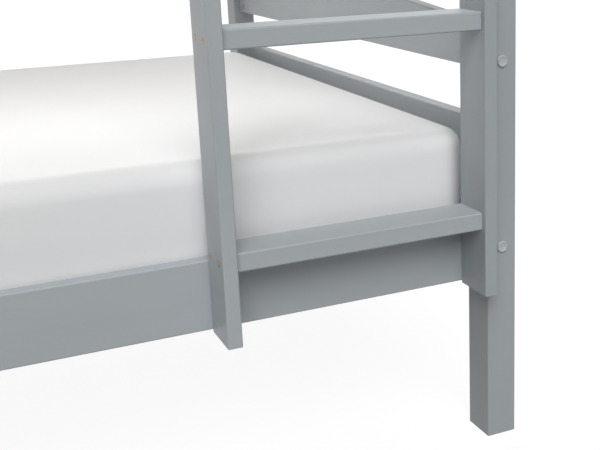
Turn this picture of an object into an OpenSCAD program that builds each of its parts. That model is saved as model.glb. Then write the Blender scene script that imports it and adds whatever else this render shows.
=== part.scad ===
// Bunk bed: two single sleeping levels in one painted wooden frame, with an upright ladder at the right.
// X runs along the bed, Y from the ladder side to the rear, Z up from the floor.
// The origin is on the floor, at the middle of the footprint with the ladder in it.

/* [Mattress] */
// Length of each mattress
mattress_l = 1905; // [1600:5:2100]
// Width of each mattress
mattress_w = 990; // [800:5:1200]
// Height of each mattress
mattress_h = 152; // [90:1:180]
// Plan radius of the mattress corners
mattress_corner_r = 45; // [20:1:80]
// Room between a mattress and each side rail
side_gap = 5; // [2:1:20]
// Room between a mattress and each end rail
end_gap = 4; // [2:1:20]
// Height of the lower slat tops above the foot of the side rail
seat_rise = 46; // [40:1:60]

/* [Posts] */
// Width of a post along the bed
post_w = 42; // [36:1:60]
// Depth of a post across the bed
post_d = 51.5; // [40:0.5:70]
// Height of the posts
post_h = 1585; // [1580:1:1800]

/* [Boards] */
// Thickness of the rails, slats, boards and stiles
board_t = 18; // [16:0.5:24]
// Radius of the eased long edges
edge_r = 2; // [1:0.5:3]
// Height of the side rails and base end rails
rail_h = 86; // [84:1:110]
// Height of the lower rails' undersides above the floor
rail_z = 216; // [180:1:320]
// Rise from the lower level to the upper level, in ladder steps
storey_steps = 4; // [4:1:5]
// Height of the slat at mid height of each end, and of the lower guard boards
mid_slat_h = 60; // [50:1:70]
// Gap between an end rail and the slat above it
mid_slat_gap = 62.5; // [50:0.5:75]
// Gap between the middle slat and the arched board
end_board_gap = 70; // [60:0.5:75]
// Height of an arched board at the posts
end_board_h = 54.5; // [45:0.5:70]
// Rise of the arch at mid span
arch_rise = 30.5; // [10:0.5:60]
// Height of the upper guard boards
guard_h = 68; // [60:1:75]
// Width of the guard stiles
stile_w = 60; // [45:1:80]

/* [Ladder] */
// Clear width between the ladder uprights
ladder_clear = 318.5; // [300:0.5:400]
// Thickness of an upright
upright_t = 17.5; // [16:0.5:25]
// Depth of an upright
upright_d = 63; // [50:1:90]
// Gap between the right upright and the post
ladder_gap = 3; // [1:0.5:20]
// How far the uprights reach below the lower rail
ladder_drop = 2; // [0:0.5:20]
// Number of treads
tread_count = 5; // [5:1:6]
// Rise from tread to tread
tread_rise = 250; // [200:1:300]
// Thickness of a tread
tread_t = 22.5; // [18:0.5:30]
// Set-back of the treads from the front of the uprights
tread_set = 9; // [3:0.5:15]
// How far the first tread's underside is below the top of the rail
tread_lap = 2; // [0:0.5:10]

/* [Slats] */
// Number of slats on each level
slat_count = 14; // [10:1:16]
// Width of a slat
slat_w = 70; // [50:1:90]
// Depth of the bearers that carry the slats
bearer_d = 20; // [18:1:30]
// Room at each end of a bearer and of the row of slats
bearer_end_gap = 12; // [5:1:30]
// Room at each end of a slat
slat_end_gap = 2; // [1:0.5:5]

/* [Fasteners] */
// Shank diameter of the frame bolts
bolt_d = 6; // [5:0.5:8]
// Head diameter of the frame bolts
bolt_head_d = 10; // [9:0.5:12]
// Depth of the sunk hole for a bolt head
sink_d = 9; // [7:0.5:12]
// Diameter of the sunk hole
sink_dia = 12; // [11:0.5:14]
// Diameter of a barrel nut
nut_d = 10; // [9:0.5:12]
// Distance from a board's end to its barrel nuts
nut_set = 30; // [25:1:40]
// Diameter of the caps over the bolts
cap_d = 14.5; // [13:0.5:20]
// Height of the caps' domes
cap_dome = 2.6; // [1:0.1:4]
// Diameter of the wooden dowels
dowel_d = 8; // [6:0.5:10]
// Depth of a dowel in a post
dowel_in_post = 14; // [10:0.5:15]
// Depth of a dowel in a board
dowel_in_board = 25; // [15:1:35]
// Shank diameter of the tread screws
tread_screw_d = 5; // [4:0.5:6]
// Head diameter of the tread screws
tread_screw_head_d = 9.5; // [8:0.5:11]
// Length of the tread screws
tread_screw_l = 55; // [40:1:70]
// Shank diameter of the other wood screws
screw_d = 4; // [3:0.5:4.5]
// Head diameter of the other wood screws
screw_head_d = 8; // [6:0.5:9]

/* [Hidden] */

paint = [0.60, 0.63, 0.65];
bare_wood = [0.80, 0.68, 0.50];
cloth = [0.96, 0.96, 0.96];
zinc = [0.72, 0.68, 0.58];
cap_grey = [0.74, 0.76, 0.77];

LEFT = -1;
RIGHT = 1;
FRONT = -1;
REAR = 1;
SIDES = [LEFT, RIGHT];
FACES = [FRONT, REAR];
LOWER = 0;
UPPER = 1;
LEVELS = [LOWER, UPPER];

$fn = 32;
arch_fn = 720;
over = 1;
fit = 0.1;
cloth_lift = 0.3;

clear_w = mattress_w + 2 * side_gap;
clear_l = mattress_l + 2 * end_gap;
rail_l = clear_l - (post_w - board_t);
total_l = rail_l + 2 * post_w;
y_front_in = -(clear_w + post_d + cap_dome - board_t - upright_d) / 2;
y_rear_in = y_front_in + clear_w;
y_rail_front = y_front_in - board_t;

storey = storey_steps * tread_rise;
rail_top = rail_z + rail_h;
mid_slat_z = rail_top + mid_slat_gap;
end_board_z = mid_slat_z + mid_slat_h + end_board_gap;
guard_top = end_board_z + storey + guard_h;
seat_z = rail_z + seat_rise;
slat_z = seat_z - board_t;
bearer_h = slat_z - rail_z;

ladder_right_x = rail_l / 2 - ladder_gap - upright_t;
ladder_left_x = ladder_right_x - ladder_clear - upright_t;
ladder_z = rail_z - ladder_drop;
tread_z = rail_top - tread_lap;
tread_d = upright_d - tread_set;

// Heights of the fasteners above the underside of each board
rail_bolt_z = [rail_h * 3 / 8, rail_h * 3 / 4];
rail_dowel_z = [rail_h * 9 / 16];
end_rail_bolt_z = [50];
end_rail_dowel_z = [14, rail_h - 10];
end_board_bolt_z = [13];
end_board_dowel_z = [end_board_h - 10.5];
mid_slat_dowel_z = [mid_slat_h / 4, mid_slat_h * 3 / 4];
guard_dowel_reach = 17;
ladder_screw_z = [rail_h * 0.46, rail_h - 8];
stile_screw_z = [rail_h / 2, rail_h - 14];
stile_screw_reach = 12;

// Fastener sizes that follow from the boards they join
bolt_hole_r = bolt_d / 2 + 0.25;
bolt_head_h = 5;
nut_l = board_t - 4;
nut_over = 6;
cap_stem_h = 3;
hex_key_d = 4.6;
hex_key_depth = 2.5;
screw_socket_d = 3;
screw_socket_depth = 1.6;
tread_screw_y = [y_rail_front - 12.5, y_rail_front - 46];
ladder_screw_l = board_t + 30;
stile_screw_l = board_t * 2 - 3;
bearer_screw_l = bearer_d + board_t - 3;
bearer_screw_z = 9;
bearer_screw_count = 8;
bearer_screw_end = 95;
slat_screw_l = board_t + 12;
front_stile_x = (ladder_left_x - rail_l / 2) / 2;
rear_stile_x = rail_l / 6;

function level_z(level) = level * storey;
function rail_mid_y(face) = (face == FRONT ? y_front_in : y_rear_in) + face * board_t / 2;
function post_mid_x(side) = side * (rail_l + post_w) / 2;
function slat_x(i) = -rail_l / 2 + bearer_end_gap + slat_w / 2
    + i * (rail_l - 2 * bearer_end_gap - slat_w) / (slat_count - 1);
function bearer_screw_x(i) = -rail_l / 2 + bearer_screw_end
    + i * (rail_l - 2 * bearer_screw_end) / (bearer_screw_count - 1);
function upright_mid_x(side) = (side == LEFT ? ladder_left_x : ladder_right_x) + upright_t / 2;

// ---- Plain shapes ----

// A rectangle from the origin with its four corners rounded
module rounded_rect(w, h, r) {
    translate([r, 0]) square([w - 2 * r, h]);
    translate([0, r]) square([w, h - 2 * r]);
    for (x = [r, w - r], y = [r, h - r]) translate([x, y]) circle(r);
}

// Boards with eased long edges, running along each axis from one low corner
module board_along_x(low, size) {
    translate(low) rotate([90, 0, 90]) linear_extrude(size[0]) rounded_rect(size[1], size[2], edge_r);
}

module board_along_y(low, size) {
    translate([low[0], low[1] + size[1], low[2]]) rotate([90, 0, 0])
        linear_extrude(size[1]) rounded_rect(size[0], size[2], edge_r);
}

module board_along_z(low, size) {
    translate(low) linear_extrude(size[2]) rounded_rect(size[0], size[1], edge_r);
}

// ---- Bolted and dowelled joints ----
// Each joint is drawn with local Z from the post's outer face into the board,
// local Y up from the board's underside and local X across the board's thickness.

module place_rail_joint(side, face, z) {
    translate([side * total_l / 2, rail_mid_y(face), z]) rotate([90, 0, -90 * side]) {
        $post_t = post_w;
        $nut_side = side * face;
        children();
    }
}

module place_end_joint(side, face, x, z) {
    y_outer = face == FRONT ? y_front_in - post_d : y_rear_in + post_d;
    translate([x, y_outer, z]) rotate([90, 0, face == REAR ? 0 : 180]) {
        $post_t = post_d;
        $nut_side = -side * face;
        children();
    }
}

module rail_joints(levels, sides, faces) {
    for (level = levels, side = sides, face = faces)
        place_rail_joint(side, face, rail_z + level_z(level)) children();
}

module end_rail_joints(levels, sides, faces) {
    for (level = levels, side = sides, face = faces)
        place_end_joint(side, face, post_mid_x(side), rail_z + level_z(level)) children();
}

module end_board_joints(levels, sides, faces) {
    for (level = levels, side = sides, face = faces)
        place_end_joint(side, face, post_mid_x(side), end_board_z + level_z(level)) children();
}

module mid_slat_joints(levels, sides, faces) {
    for (level = levels, side = sides, face = faces)
        place_end_joint(side, face, side * (total_l - board_t) / 2, mid_slat_z + level_z(level)) children();
}

// The guards reach both rear posts, and only the left post at the front
module guard_joints(z, sides, faces) {
    for (side = sides, face = faces)
        if (face == REAR || side == LEFT) place_rail_joint(side, face, z) children();
}

module at_heights(heights) {
    for (h = heights) translate([0, h, 0]) children();
}

module bolt_hole_in_post() {
    translate([0, 0, -over]) cylinder(d = sink_dia, h = sink_d + over);
    cylinder(r = bolt_hole_r, h = $post_t + over);
}

module bolt_hole_in_board() {
    translate([0, 0, $post_t - over]) cylinder(r = bolt_hole_r, h = nut_set + nut_over + 2 * over);
    translate([-$nut_side * (nut_l / 2 + fit), 0, $post_t + nut_set]) rotate([0, 90 * $nut_side, 0])
        cylinder(d = nut_d + 2 * fit, h = nut_l / 2 + board_t / 2 + over);
}

module dowel_hole() {
    translate([0, 0, $post_t - dowel_in_post - fit])
        cylinder(d = dowel_d + 2 * fit, h = dowel_in_post + dowel_in_board + 2 * fit);
}

module frame_bolt() {
    difference() {
        union() {
            translate([0, 0, sink_d - bolt_head_h]) cylinder(d = bolt_head_d, h = bolt_head_h);
            cylinder_from(sink_d, $post_t + nut_set + nut_over, bolt_d);
        }
        translate([0, 0, sink_d - bolt_head_h - over])
            cylinder(d = hex_key_d, h = hex_key_depth + over, $fn = 6);
    }
}

module cylinder_from(low, high, d) {
    translate([0, 0, low]) cylinder(d = d, h = high - low);
}

module barrel_nut() {
    translate([0, 0, $post_t + nut_set]) difference() {
        rotate([0, 90, 0]) cylinder(d = nut_d, h = nut_l, center = true);
        cylinder(d = bolt_d + 2 * fit, h = nut_d + 2 * over, center = true);
    }
}

// A low dome with a stem that plugs the sunk hole
module bolt_cap() {
    dome_r = (pow(cap_d / 2, 2) + pow(cap_dome, 2)) / (2 * cap_dome);
    cylinder_from(0, cap_stem_h, sink_dia - 2 * fit);
    rotate([180, 0, 0]) rotate_extrude() intersection() {
        translate([0, cap_dome - dome_r]) circle(dome_r, $fn = 96);
        square([cap_d / 2, cap_dome]);
    }
}

module dowel_pin() {
    cylinder_from($post_t - dowel_in_post, $post_t + dowel_in_board, dowel_d);
}

module post_cuts(bolt_heights, dowel_heights) {
    at_heights(bolt_heights) bolt_hole_in_post();
    at_heights(dowel_heights) dowel_hole();
}

module board_cuts(bolt_heights, dowel_heights) {
    at_heights(bolt_heights) bolt_hole_in_board();
    at_heights(dowel_heights) dowel_hole();
}

// ---- Wood screws, with their heads flush at local Z = 0 and local Z into the wood ----

module wood_screw(d, head_d, l) {
    difference() {
        union() {
            cylinder(d1 = head_d, d2 = d, h = (head_d - d) / 2);
            cylinder(d = d, h = l);
        }
        translate([0, 0, -over]) cylinder(d = d * 0.6, h = screw_socket_depth + over, $fn = 6);
    }
}

module wood_screw_hole(d, head_d, l) {
    sink = (head_d - d) / 2;
    translate([0, 0, -over]) cylinder(d1 = head_d + 2 * fit + 2 * over, d2 = d + 2 * fit, h = sink + over);
    translate([0, 0, -over]) cylinder(d = d + 2 * fit, h = l + over + fit);
}

module tread_screw_places(numbers, sides) {
    for (n = numbers, side = sides, y = tread_screw_y) {
        x_outer = side == LEFT ? ladder_left_x : ladder_right_x + upright_t;
        translate([x_outer, y, tread_z + n * tread_rise + tread_t / 2]) rotate([0, -90 * side, 0]) children();
    }
}

module ladder_screw_places(levels, sides) {
    for (level = levels, side = sides, h = ladder_screw_z)
        translate([upright_mid_x(side), y_front_in, rail_z + level_z(level) + h]) rotate([90, 0, 0]) children();
}

module guard_to_ladder_places() {
    for (z = guard_zs(), h = [-stile_screw_reach, stile_screw_reach])
        translate([upright_mid_x(LEFT), y_front_in, z[0] + z[1] / 2 + h]) rotate([90, 0, 0]) children();
}

module stile_screw_places(face, x) {
    y = face == FRONT ? y_front_in : y_rear_in;
    for (h = stile_screw_z)
        translate([x, y, rail_z + storey + h]) rotate([-90 * face, 0, 0]) children();
    for (z = guard_zs(), h = [-stile_screw_reach, stile_screw_reach])
        translate([x, y, z[0] + z[1] / 2 + h]) rotate([-90 * face, 0, 0]) children();
}

module bearer_screw_places(level, face) {
    y = face == FRONT ? y_front_in + bearer_d : y_rear_in - bearer_d;
    for (i = [0 : bearer_screw_count - 1])
        translate([bearer_screw_x(i), y, rail_z + level_z(level) + bearer_screw_z])
            rotate([-90 * face, 0, 0]) children();
}

module slat_screw_places(level, faces) {
    for (i = [0 : slat_count - 1], face = faces) {
        y = face == FRONT ? y_front_in + bearer_d / 2 : y_rear_in - bearer_d / 2;
        translate([slat_x(i), y, seat_z + level_z(level)]) rotate([180, 0, 0]) children();
    }
}

// Low corner height and height of each guard board
function guard_zs() = [[mid_slat_z + storey, mid_slat_h], [end_board_z + storey, guard_h]];

// ---- Frame ----

module post(side, face) {
    x = side == LEFT ? -total_l / 2 : rail_l / 2;
    y = face == FRONT ? y_front_in - post_d : y_rear_in;
    color(paint) difference() {
        board_along_z([x, y, 0], [post_w, post_d, post_h]);
        rail_joints(LEVELS, [side], [face]) post_cuts(rail_bolt_z, rail_dowel_z);
        end_rail_joints(LEVELS, [side], [face]) post_cuts(end_rail_bolt_z, end_rail_dowel_z);
        mid_slat_joints(LEVELS, [side], [face]) post_cuts([], mid_slat_dowel_z);
        end_board_joints(LEVELS, [side], [face]) post_cuts(end_board_bolt_z, end_board_dowel_z);
        for (z = guard_zs()) guard_joints(z[0], [side], [face])
            post_cuts([z[1] / 2], [z[1] / 2 - guard_dowel_reach, z[1] / 2 + guard_dowel_reach]);
    }
}

module side_rail(level, face) {
    z = rail_z + level_z(level);
    color(paint) difference() {
        board_along_x([-rail_l / 2, rail_mid_y(face) - board_t / 2, z], [rail_l, board_t, rail_h]);
        rail_joints([level], SIDES, [face]) board_cuts(rail_bolt_z, rail_dowel_z);
        bearer_screw_places(level, face) wood_screw_hole(screw_d, screw_head_d, bearer_screw_l);
        if (face == FRONT) ladder_screw_places([level], SIDES)
            wood_screw_hole(screw_d, screw_head_d, ladder_screw_l);
        if (level == UPPER) stile_screws_on(face) wood_screw_hole(screw_d, screw_head_d, stile_screw_l);
    }
}

module stile_screws_on(face) {
    if (face == FRONT) stile_screw_places(FRONT, front_stile_x) children();
    if (face == REAR) for (side = SIDES) stile_screw_places(REAR, side * rear_stile_x) children();
}

module bearer(level, face) {
    y = face == FRONT ? y_front_in : y_rear_in - bearer_d;
    color(bare_wood) difference() {
        translate([-rail_l / 2 + bearer_end_gap, y, rail_z + level_z(level)])
            cube([rail_l - 2 * bearer_end_gap, bearer_d, bearer_h]);
        bearer_screw_places(level, face) wood_screw_hole(screw_d, screw_head_d, bearer_screw_l);
        slat_screw_places(level, [face]) wood_screw_hole(screw_d, screw_head_d, slat_screw_l);
    }
}

module end_rail(level, side) {
    color(paint) difference() {
        board_along_y([post_mid_x(side) - board_t / 2, y_front_in, rail_z + level_z(level)],
            [board_t, clear_w, rail_h]);
        end_rail_joints([level], [side], FACES) board_cuts(end_rail_bolt_z, end_rail_dowel_z);
    }
}

// The middle slat lies flush with the outer faces of the posts
module mid_slat(level, side) {
    x = side == LEFT ? -total_l / 2 : total_l / 2 - board_t;
    color(paint) difference() {
        board_along_y([x, y_front_in, mid_slat_z + level_z(level)], [board_t, clear_w, mid_slat_h]);
        mid_slat_joints([level], [side], FACES) board_cuts([], mid_slat_dowel_z);
    }
}

// The top edge is an arc through both post tops and the rise at mid span
module end_board(level, side) {
    arc_r = (pow(clear_w / 2, 2) + pow(arch_rise, 2)) / (2 * arch_rise);
    z = end_board_z + level_z(level);
    x = post_mid_x(side) - board_t / 2;
    ring_w = arch_rise + end_board_h / 2;
    color(paint) difference() {
        union() {
            board_along_y([x, y_front_in, z], [board_t, clear_w, end_board_h - 2 * edge_r]);
            intersection() {
                translate([x, y_front_in + clear_w / 2, z + end_board_h + arch_rise - arc_r])
                    rotate([0, 90, 0]) rotate_extrude($fn = arch_fn)
                        translate([arc_r - ring_w, 0]) rounded_rect(ring_w, board_t, edge_r);
                translate([x - over, y_front_in, z + edge_r])
                    cube([board_t + 2 * over, clear_w, end_board_h + arch_rise]);
            }
            intersection() {
                translate([x, y_front_in + clear_w / 2, z + end_board_h + arch_rise - arc_r])
                    rotate([0, 90, 0]) cylinder(r = arc_r - edge_r, h = board_t, $fn = arch_fn);
                translate([x, y_front_in, z + edge_r])
                    cube([board_t, clear_w, end_board_h + arch_rise]);
            }
        }
        end_board_joints([level], [side], FACES) board_cuts(end_board_bolt_z, end_board_dowel_z);
    }
}

module guard(index, face) {
    z = guard_zs()[index];
    right_x = face == FRONT ? ladder_left_x + upright_t : rail_l / 2;
    color(paint) difference() {
        board_along_x([-rail_l / 2, rail_mid_y(face) - board_t / 2, z[0]],
            [right_x + rail_l / 2, board_t, z[1]]);
        guard_joints(z[0], SIDES, [face])
            board_cuts([z[1] / 2], [z[1] / 2 - guard_dowel_reach, z[1] / 2 + guard_dowel_reach]);
        stile_screws_on(face) wood_screw_hole(screw_d, screw_head_d, stile_screw_l);
        if (face == FRONT) guard_to_ladder_places() wood_screw_hole(screw_d, screw_head_d, ladder_screw_l);
    }
}

module guard_stile(face, x) {
    y = face == FRONT ? y_rail_front - board_t : y_rear_in + board_t;
    z = rail_z + storey;
    color(paint) difference() {
        board_along_z([x - stile_w / 2, y, z], [stile_w, board_t, guard_top - z]);
        stile_screw_places(face, x) wood_screw_hole(screw_d, screw_head_d, stile_screw_l);
    }
}

// ---- Ladder ----

module ladder_upright(side) {
    x = side == LEFT ? ladder_left_x : ladder_right_x;
    color(paint) difference() {
        board_along_z([x, y_rail_front - upright_d, ladder_z], [upright_t, upright_d, guard_top - ladder_z]);
        tread_screw_places([0 : tread_count - 1], [side])
            wood_screw_hole(tread_screw_d, tread_screw_head_d, tread_screw_l);
        ladder_screw_places(LEVELS, [side]) wood_screw_hole(screw_d, screw_head_d, ladder_screw_l);
        if (side == LEFT) guard_to_ladder_places() wood_screw_hole(screw_d, screw_head_d, ladder_screw_l);
    }
}

module tread(number) {
    color(paint) difference() {
        board_along_x([ladder_left_x + upright_t, y_rail_front - tread_d, tread_z + number * tread_rise],
            [ladder_clear, tread_d, tread_t]);
        tread_screw_places([number], SIDES)
            wood_screw_hole(tread_screw_d, tread_screw_head_d, tread_screw_l);
    }
}

// ---- Slats and mattresses ----

module slats(level) {
    color(bare_wood) difference() {
        for (i = [0 : slat_count - 1])
            board_along_y([slat_x(i) - slat_w / 2, y_front_in + slat_end_gap, slat_z + level_z(level)],
                [slat_w, clear_w - 2 * slat_end_gap, board_t]);
        slat_screw_places(level, FACES) wood_screw_hole(screw_d, screw_head_d, slat_screw_l);
    }
}

module mattress(level) {
    color(cloth) translate([-mattress_l / 2, y_front_in + side_gap, seat_z + level_z(level) + cloth_lift])
        linear_extrude(mattress_h) rounded_rect(mattress_l, mattress_w, mattress_corner_r);
}

// ---- Fasteners, each kind a group of separate pieces ----

module rail_bolts() {
    color(zinc) rail_joints(LEVELS, SIDES, FACES) at_heights(rail_bolt_z) frame_bolt();
}

module end_bolts() {
    color(zinc) end_rail_joints(LEVELS, SIDES, FACES) at_heights(end_rail_bolt_z) frame_bolt();
    color(zinc) end_board_joints(LEVELS, SIDES, FACES) at_heights(end_board_bolt_z) frame_bolt();
}

module guard_bolts() {
    color(zinc) for (z = guard_zs()) guard_joints(z[0] + z[1] / 2, SIDES, FACES) frame_bolt();
}

// Every place where a bolt, its barrel nut and its cap stand
module bolt_places() {
    rail_joints(LEVELS, SIDES, FACES) at_heights(rail_bolt_z) children();
    end_rail_joints(LEVELS, SIDES, FACES) at_heights(end_rail_bolt_z) children();
    end_board_joints(LEVELS, SIDES, FACES) at_heights(end_board_bolt_z) children();
    for (z = guard_zs()) guard_joints(z[0] + z[1] / 2, SIDES, FACES) children();
}

module barrel_nuts() {
    color(zinc) bolt_places() barrel_nut();
}

module bolt_caps() {
    color(cap_grey) bolt_places() bolt_cap();
}

module dowels() {
    color(bare_wood) {
        rail_joints(LEVELS, SIDES, FACES) at_heights(rail_dowel_z) dowel_pin();
        end_rail_joints(LEVELS, SIDES, FACES) at_heights(end_rail_dowel_z) dowel_pin();
        mid_slat_joints(LEVELS, SIDES, FACES) at_heights(mid_slat_dowel_z) dowel_pin();
        end_board_joints(LEVELS, SIDES, FACES) at_heights(end_board_dowel_z) dowel_pin();
        for (z = guard_zs(), reach = [-guard_dowel_reach, guard_dowel_reach])
            guard_joints(z[0] + z[1] / 2 + reach, SIDES, FACES) dowel_pin();
    }
}

module tread_screws() {
    color(zinc) tread_screw_places([0 : tread_count - 1], SIDES)
        wood_screw(tread_screw_d, tread_screw_head_d, tread_screw_l);
}

module ladder_screws() {
    color(zinc) ladder_screw_places(LEVELS, SIDES) wood_screw(screw_d, screw_head_d, ladder_screw_l);
}

module guard_screws() {
    color(zinc) guard_to_ladder_places() wood_screw(screw_d, screw_head_d, ladder_screw_l);
    color(zinc) for (face = FACES) stile_screws_on(face) wood_screw(screw_d, screw_head_d, stile_screw_l);
}

module bearer_screws() {
    color(zinc) for (level = LEVELS, face = FACES)
        bearer_screw_places(level, face) wood_screw(screw_d, screw_head_d, bearer_screw_l);
}

module slat_screws() {
    color(zinc) for (level = LEVELS)
        slat_screw_places(level, FACES) wood_screw(screw_d, screw_head_d, slat_screw_l);
}

post(LEFT, FRONT);  // post_front_left
post(RIGHT, FRONT);  // post_front_right
post(LEFT, REAR);  // post_rear_left
post(RIGHT, REAR);  // post_rear_right
side_rail(LOWER, FRONT);  // lower_front_rail
side_rail(LOWER, REAR);  // lower_rear_rail
side_rail(UPPER, FRONT);  // upper_front_rail
side_rail(UPPER, REAR);  // upper_rear_rail
bearer(LOWER, FRONT);  // lower_front_bearer
bearer(LOWER, REAR);  // lower_rear_bearer
bearer(UPPER, FRONT);  // upper_front_bearer
bearer(UPPER, REAR);  // upper_rear_bearer
end_rail(LOWER, LEFT);  // lower_left_end_rail
end_rail(LOWER, RIGHT);  // lower_right_end_rail
end_rail(UPPER, LEFT);  // upper_left_end_rail
end_rail(UPPER, RIGHT);  // upper_right_end_rail
mid_slat(LOWER, LEFT);  // lower_left_mid_slat
mid_slat(LOWER, RIGHT);  // lower_right_mid_slat
mid_slat(UPPER, LEFT);  // upper_left_mid_slat
mid_slat(UPPER, RIGHT);  // upper_right_mid_slat
end_board(LOWER, LEFT);  // lower_left_end_board
end_board(LOWER, RIGHT);  // lower_right_end_board
end_board(UPPER, LEFT);  // upper_left_end_board
end_board(UPPER, RIGHT);  // upper_right_end_board
guard(0, FRONT);  // front_guard_low
guard(1, FRONT);  // front_guard_high
guard(0, REAR);  // rear_guard_low
guard(1, REAR);  // rear_guard_high
guard_stile(FRONT, front_stile_x);  // front_guard_stile
guard_stile(REAR, -rear_stile_x);  // rear_guard_stile_left
guard_stile(REAR, rear_stile_x);  // rear_guard_stile_right
ladder_upright(LEFT);  // ladder_upright_left
ladder_upright(RIGHT);  // ladder_upright_right
tread(0);  // tread_1
tread(1);  // tread_2
tread(2);  // tread_3
tread(3);  // tread_4
tread(4);  // tread_5
slats(LOWER);  // lower_slats
slats(UPPER);  // upper_slats
mattress(LOWER);  // lower_mattress
mattress(UPPER);  // upper_mattress
rail_bolts();
end_bolts();
guard_bolts();
barrel_nuts();
bolt_caps();
dowels();
tread_screws();
ladder_screws();
guard_screws();
bearer_screws();
slat_screws();
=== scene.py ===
"""Finishes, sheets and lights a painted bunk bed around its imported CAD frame."""

import math

import bpy
import numpy as np
from bpy.props import FloatProperty, FloatVectorProperty, IntProperty, PointerProperty
from mathutils import Matrix, Vector


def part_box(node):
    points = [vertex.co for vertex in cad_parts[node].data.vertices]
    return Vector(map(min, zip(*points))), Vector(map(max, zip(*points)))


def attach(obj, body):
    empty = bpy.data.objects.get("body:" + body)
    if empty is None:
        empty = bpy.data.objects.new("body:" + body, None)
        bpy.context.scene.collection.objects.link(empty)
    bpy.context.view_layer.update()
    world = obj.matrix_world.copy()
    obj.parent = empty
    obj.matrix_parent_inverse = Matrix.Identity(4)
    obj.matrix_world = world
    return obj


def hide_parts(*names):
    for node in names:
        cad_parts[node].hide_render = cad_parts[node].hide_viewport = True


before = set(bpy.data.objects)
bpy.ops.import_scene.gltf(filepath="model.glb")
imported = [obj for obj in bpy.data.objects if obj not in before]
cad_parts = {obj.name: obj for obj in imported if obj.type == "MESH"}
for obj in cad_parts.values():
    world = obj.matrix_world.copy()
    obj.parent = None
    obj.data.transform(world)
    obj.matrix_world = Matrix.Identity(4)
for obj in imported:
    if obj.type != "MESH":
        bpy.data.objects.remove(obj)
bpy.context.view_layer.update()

bl_info = {
    "name": "Bunk Bed Dressing",
    "version": (1, 0, 0),
    "blender": (4, 5, 0),
    "location": "View3D > Sidebar > Bunk Bed",
    "description": "Finishes the timber, fittings, mattresses and sheets of a painted bunk bed",
    "category": "Object",
}

LEVELS = ("lower", "upper")
TAU = 2 * math.pi
WAVE_TURNS = 20  # Radians that a wave texture turns in one unit of its scale
KNIT_PITCH = 0.0022  # Distance from one knitted loop to the next

# Distances between the CAD points of the fittings, in metres.
SLAT_GAP = 0.01  # Least room between two slats
CAP_GAP = 0.006  # Least room between two caps
HEAD_GAP = 0.003  # Least room between two screw heads
HEAD_FACE = 0.0008  # Depth within which points belong to a head's face
HEAD_ROOM = 0.008  # Distance from a screw's axis within which points are its own
SCREW_REACH = 0.06  # Distance from an upright's middle to its farthest screw point

# Shares of the tread screws' heads.
ARM_SHARE = 0.34  # Half width of the cross's arms, beside their length
SHANK_SHARE = 0.52  # Radius of the shank, beside the head's
SHARP_DEGREES = 40  # Edges of turned pieces that bend more than this stay sharp

# Steps and reaches of the bedding.
SWELL_FRAMES = 20
HELD_RINGS = 7  # Rings of the sheet that the elastic and the tuck hold
GATHER_RINGS = 3  # Rings over which the gathers fade
GATHER_PITCH = 0.018  # Distance from one gather of the hem to the next
CORNER_PULLS = 14  # How fast the soft pulls repeat round a corner
HEM_STEPS, HEM_SIDES = 720, 12
HEM_CLEARANCE = 0.0006  # Room between the hem and the foam
LIFT_FADE = 0.03  # Distance over which the foam comes down from the hem to its rest
SEAM_SPREAD = 0.009  # Half width of a sewn channel

FACES = ("front", "rear")
SIDES = ("left", "right")

# Which way the wood grain runs in each painted piece.
GRAIN_OF = {
    "X": (
        *(f"{level}_{face}_rail" for level in LEVELS for face in FACES),
        *(f"{face}_guard_{row}" for face in FACES for row in ("low", "high")),
        *(f"tread_{step}" for step in range(1, 6)),
    ),
    "Y": tuple(
        f"{level}_{side}_{piece}"
        for level in LEVELS
        for side in SIDES
        for piece in ("end_rail", "mid_slat", "end_board")
    ),
    "Z": (
        "ladder_upright_left",
        "front_guard_stile",
        *(f"rear_guard_stile_{side}" for side in SIDES),
    ),
}
# Painted shade: the posts and the right ladder upright take a darker copy of the paint, standing in
# for the shade that falls on them.
SHADED_PAINT_PIECES = (
    *(f"post_{face}_{side}" for face in FACES for side in SIDES),
    "ladder_upright_right",
)


# ---------------------------------------------------------------- settings


def colour(name, description, value):
    return FloatVectorProperty(
        name=name, description=description, subtype="COLOR", size=3, min=0, max=1, default=value
    )


def length(name, description, metres):
    return FloatProperty(
        name=name, description=description, subtype="DISTANCE", unit="LENGTH", default=metres
    )


def share(name, description, value):
    return FloatProperty(
        name=name, description=description, subtype="FACTOR", min=0, max=1, default=value
    )


def bearing(name, description, radians):
    return FloatProperty(name=name, description=description, subtype="ANGLE", default=radians)


class BunkPaint(bpy.types.PropertyGroup):
    """The satin paint on every board, post and tread."""

    body: colour("Paint", "Colour of the paint on a flat face", (0.455, 0.490, 0.513))
    worn: colour("Worn Paint", "Paint that hands and cloths have dulled", (0.432, 0.465, 0.488))
    end_grain: colour("End Grain", "Paint that has sunk into end grain", (0.398, 0.427, 0.446))
    # Painted shade: how dark the copy of the paint on the posts and right upright is, standing in
    # for the shade on them.
    post_shade_tone: share("Post Tone", "How bright the posts' paint batch is beside the boards'", 0.87)
    roughness: share("Roughness", "How matt the satin paint is", 0.42)
    grain_depth: length("Grain Depth", "How far the wood grain shows through the paint", 0.00022)
    orange_peel: length("Roller Texture", "Height of the roller's fine texture", 0.00004)


class BunkTimber(bpy.types.PropertyGroup):
    """The bare wood of the slats, bearers and dowels."""

    early: colour("Early Wood", "Pale spring growth of the pine", (0.76, 0.64, 0.46))
    late: colour("Late Wood", "Darker summer growth of the pine", (0.61, 0.45, 0.28))
    knot: colour("Knot", "Colour at the heart of a knot", (0.16, 0.075, 0.035))
    beech: colour("Beech", "Colour of the beech dowels", (0.62, 0.44, 0.29))
    fleck: colour("Beech Fleck", "Colour of the short dark flecks in beech", (0.45, 0.29, 0.18))
    ring_gap: length("Ring Gap", "Distance from one growth ring to the next", 0.0055)
    knot_gap: length("Knot Gap", "Distance between knots along a board", 0.33)


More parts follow.
